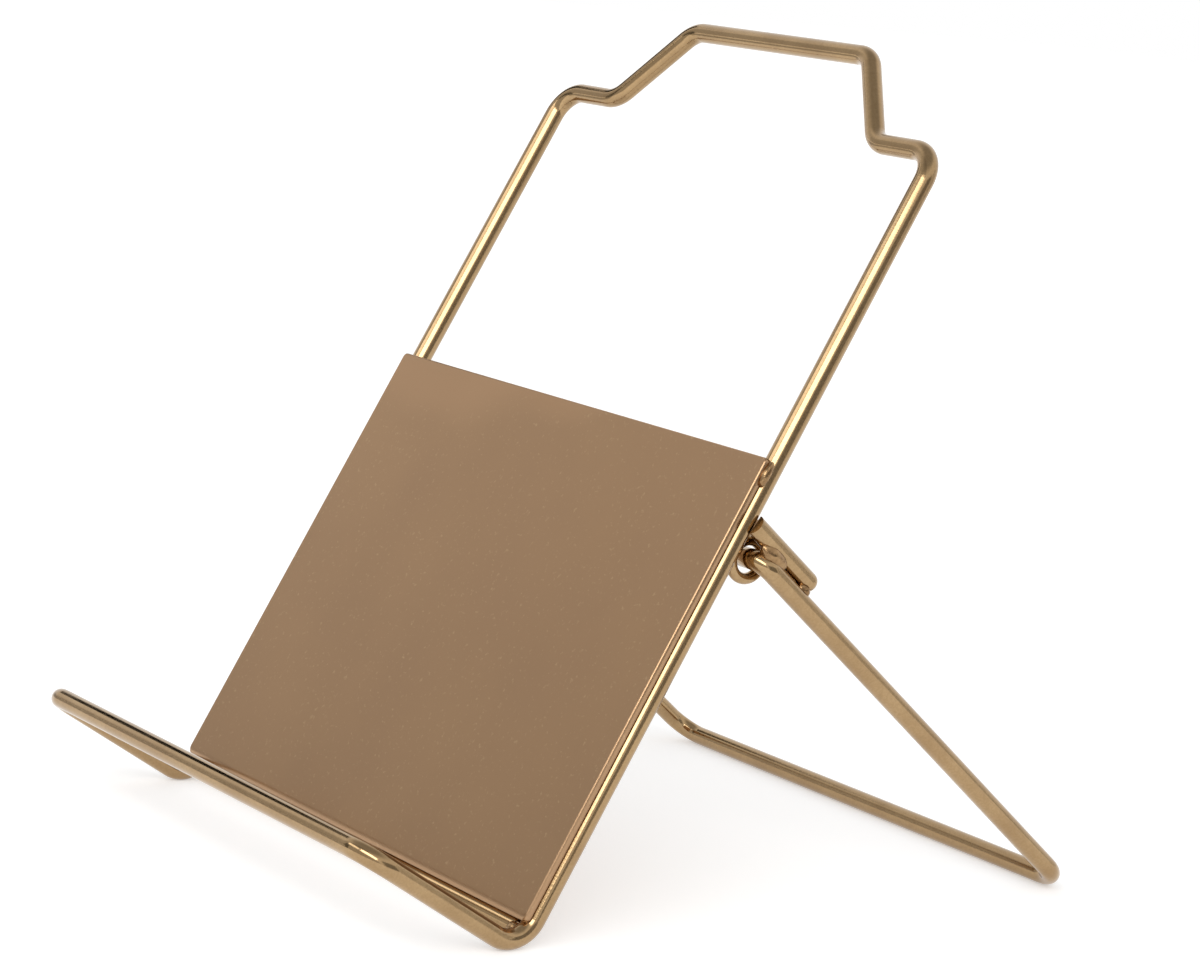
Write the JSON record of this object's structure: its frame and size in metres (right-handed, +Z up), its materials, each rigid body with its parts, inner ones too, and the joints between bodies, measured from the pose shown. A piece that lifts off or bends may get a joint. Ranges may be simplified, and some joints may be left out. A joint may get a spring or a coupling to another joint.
{
  "type": "book stand",
  "caption": "Folding wire book stand with a leaning sheet panel, a stepped crest, a front lip that holds the book's edge and a hinged rear leg.",
  "frame": {"origin": "on the table, under the middle of the open stand's bounding box", "axes": "+X to the right across the stand, +Y from the lip back to the leg's foot, +Z up from the table"},
  "size_m": [0.1296, 0.1712, 0.1658],
  "materials": {
    "wire": "polished, brass-plated wire",
    "sheet": "satin, brass-plated sheet",
    "solder": "dull, plated over"
  },
  "bodies": {
    "frame": {"frame_wire": "wire", "back_panel": "sheet", "panel_solder_upper_right": "solder", "panel_solder_upper_left": "solder", "panel_solder_lower_right": "solder", "panel_solder_lower_left": "solder", "cross_wire": "wire", "cross_solder_right": "solder", "cross_solder_left": "solder", "hinge_ring_right": "wire", "hinge_ring_left": "wire", "ring_solder_right": "solder", "ring_solder_left": "solder"},
    "leg": {"rear_leg": "wire", "leg_stop_right": "wire", "leg_stop_left": "wire", "stop_solder_upper_right": "solder", "stop_solder_upper_left": "solder", "stop_solder_lower_right": "solder", "stop_solder_lower_left": "solder"}
  },
  "joints": [
    {"name": "leg_fold", "type": "hinge", "parent": "frame", "child": "leg", "pos_m": [0, -0.00437, 0.0708], "axis": [-1, 0, 0], "range_deg": [0, 80]}
  ]
}
